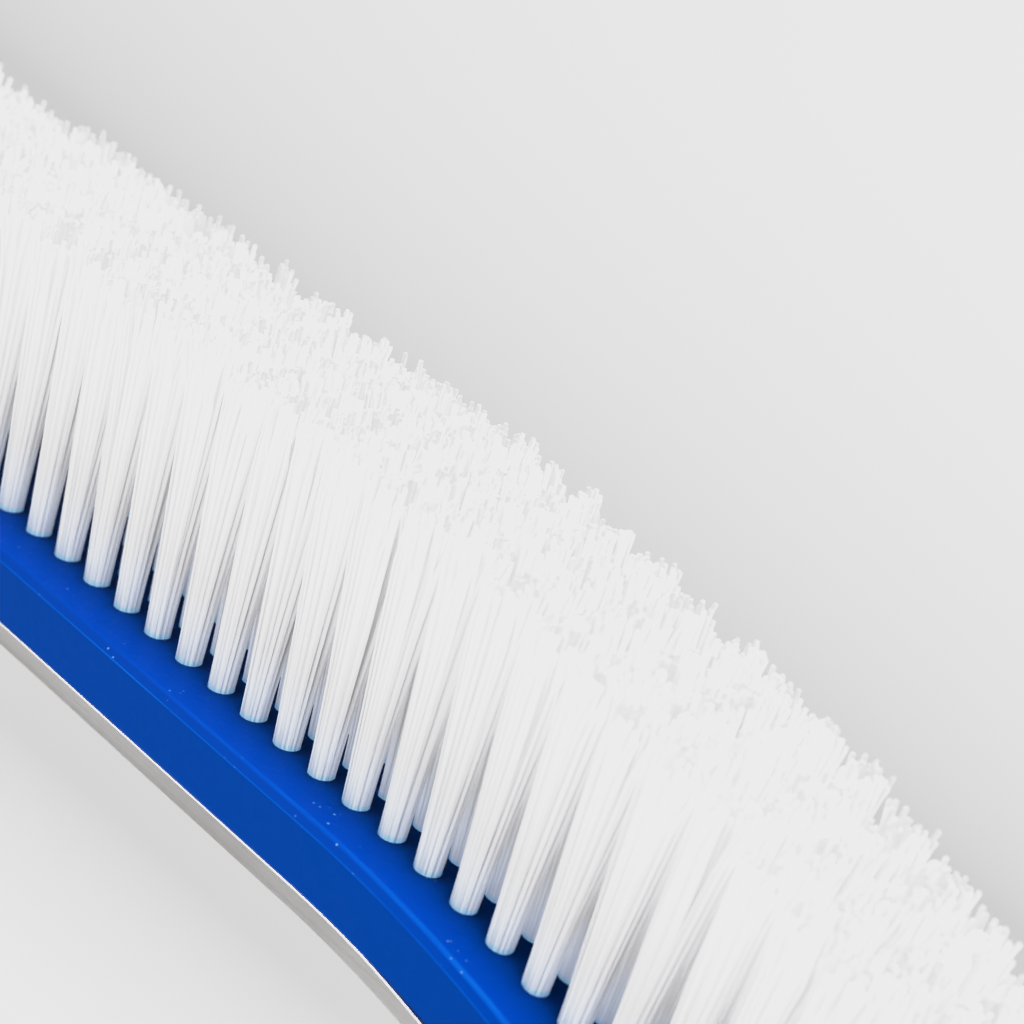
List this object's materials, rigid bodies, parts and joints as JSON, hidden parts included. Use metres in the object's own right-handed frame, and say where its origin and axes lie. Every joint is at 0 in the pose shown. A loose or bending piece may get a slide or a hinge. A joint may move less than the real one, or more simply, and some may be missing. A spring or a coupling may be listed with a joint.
{
  "type": "pool wall brush",
  "caption": "Long curved wall brush head: nylon tufts in a blue plastic block on an aluminium back plate, with an angled pole spigot and a two-arm spring clip.",
  "frame": {"origin": "middle of the bristle tips, at the tip of the centre tuft, where the brush meets the wall", "axes": "+Z the way the bristles point, X along the brush, Y across it; the spigot leaves towards -Y and -Z"},
  "size_m": [0.4614, 0.1464, 0.1879],
  "materials": {
    "block_plastic": "glossy royal blue moulded polypropylene",
    "bristle_nylon": "white nylon filament with a soft sheen",
    "plate_aluminium": "polished sheet with a satin sawn edge",
    "cast_aluminium": "fine cast surface, lightly buffed",
    "tube_aluminium": "drawn tube with lengthwise polishing lines",
    "rivet_aluminium": "plain bright rivet",
    "steel": "bright stainless steel",
    "clip_plastic": "dark grey moulded acetal, fine grain"
  },
  "bodies": {
    "head": {"brush_block": "block_plastic", "tuft_row_1": "bristle_nylon", "tuft_row_2": "bristle_nylon", "tuft_row_3": "bristle_nylon", "tuft_row_4": "bristle_nylon", "tuft_row_5": "bristle_nylon", "staple_row_1": "steel", "staple_row_2": "steel", "staple_row_3": "steel", "staple_row_4": "steel", "staple_row_5": "steel", "back_plate": "plate_aluminium", "plate_screws": "steel", "handle_saddle": "cast_aluminium", "saddle_rivets": "rivet_aluminium", "spigot_tube": "tube_aluminium", "spigot_rivets": "rivet_aluminium", "clip_nose": "clip_plastic"},
    "clip_right": {"clip_arm_right": "clip_plastic"},
    "clip_left": {"clip_arm_left": "clip_plastic"}
  },
  "joints": [
    {"name": "right_arm_squeeze", "type": "hinge", "parent": "head", "child": "clip_right", "pos_m": [0.0101, -0.10667, -0.16867], "axis": [0, -0.7071, 0.7071], "range_deg": [0, 5.7], "stiffness_Nm_per_rad": 2, "springref_deg": -11.46},
    {"name": "left_arm_squeeze", "type": "hinge", "parent": "head", "child": "clip_left", "pos_m": [-0.0101, -0.10667, -0.16867], "axis": [0, 0.7071, -0.7071], "range_deg": [0, 5.7], "stiffness_Nm_per_rad": 2, "springref_deg": -11.46}
  ]
}
